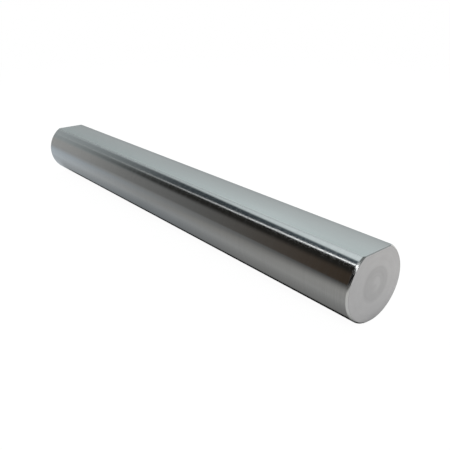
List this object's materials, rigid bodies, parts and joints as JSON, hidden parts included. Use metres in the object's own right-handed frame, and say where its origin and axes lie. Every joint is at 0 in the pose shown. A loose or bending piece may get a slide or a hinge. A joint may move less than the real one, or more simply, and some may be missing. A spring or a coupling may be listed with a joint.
{
  "type": "rotary shaft",
  "caption": "Straight round steel shaft with a flat along its whole length and a small chamfer round each faced end, for turning in bearings and driving what is clamped on its flat.",
  "frame": {"origin": "on the axis of the ground round, at mid-length", "axes": "+X along the shaft's axis, +Z square out of the flat"},
  "size_m": [0.1524, 0.019, 0.0177],
  "materials": {
    "ground_steel": "fine ground round, lengthwise ground flat and matt turned end faces"
  },
  "bodies": {
    "root": {"rotary_shaft": "ground_steel"}
  },
  "joints": []
}
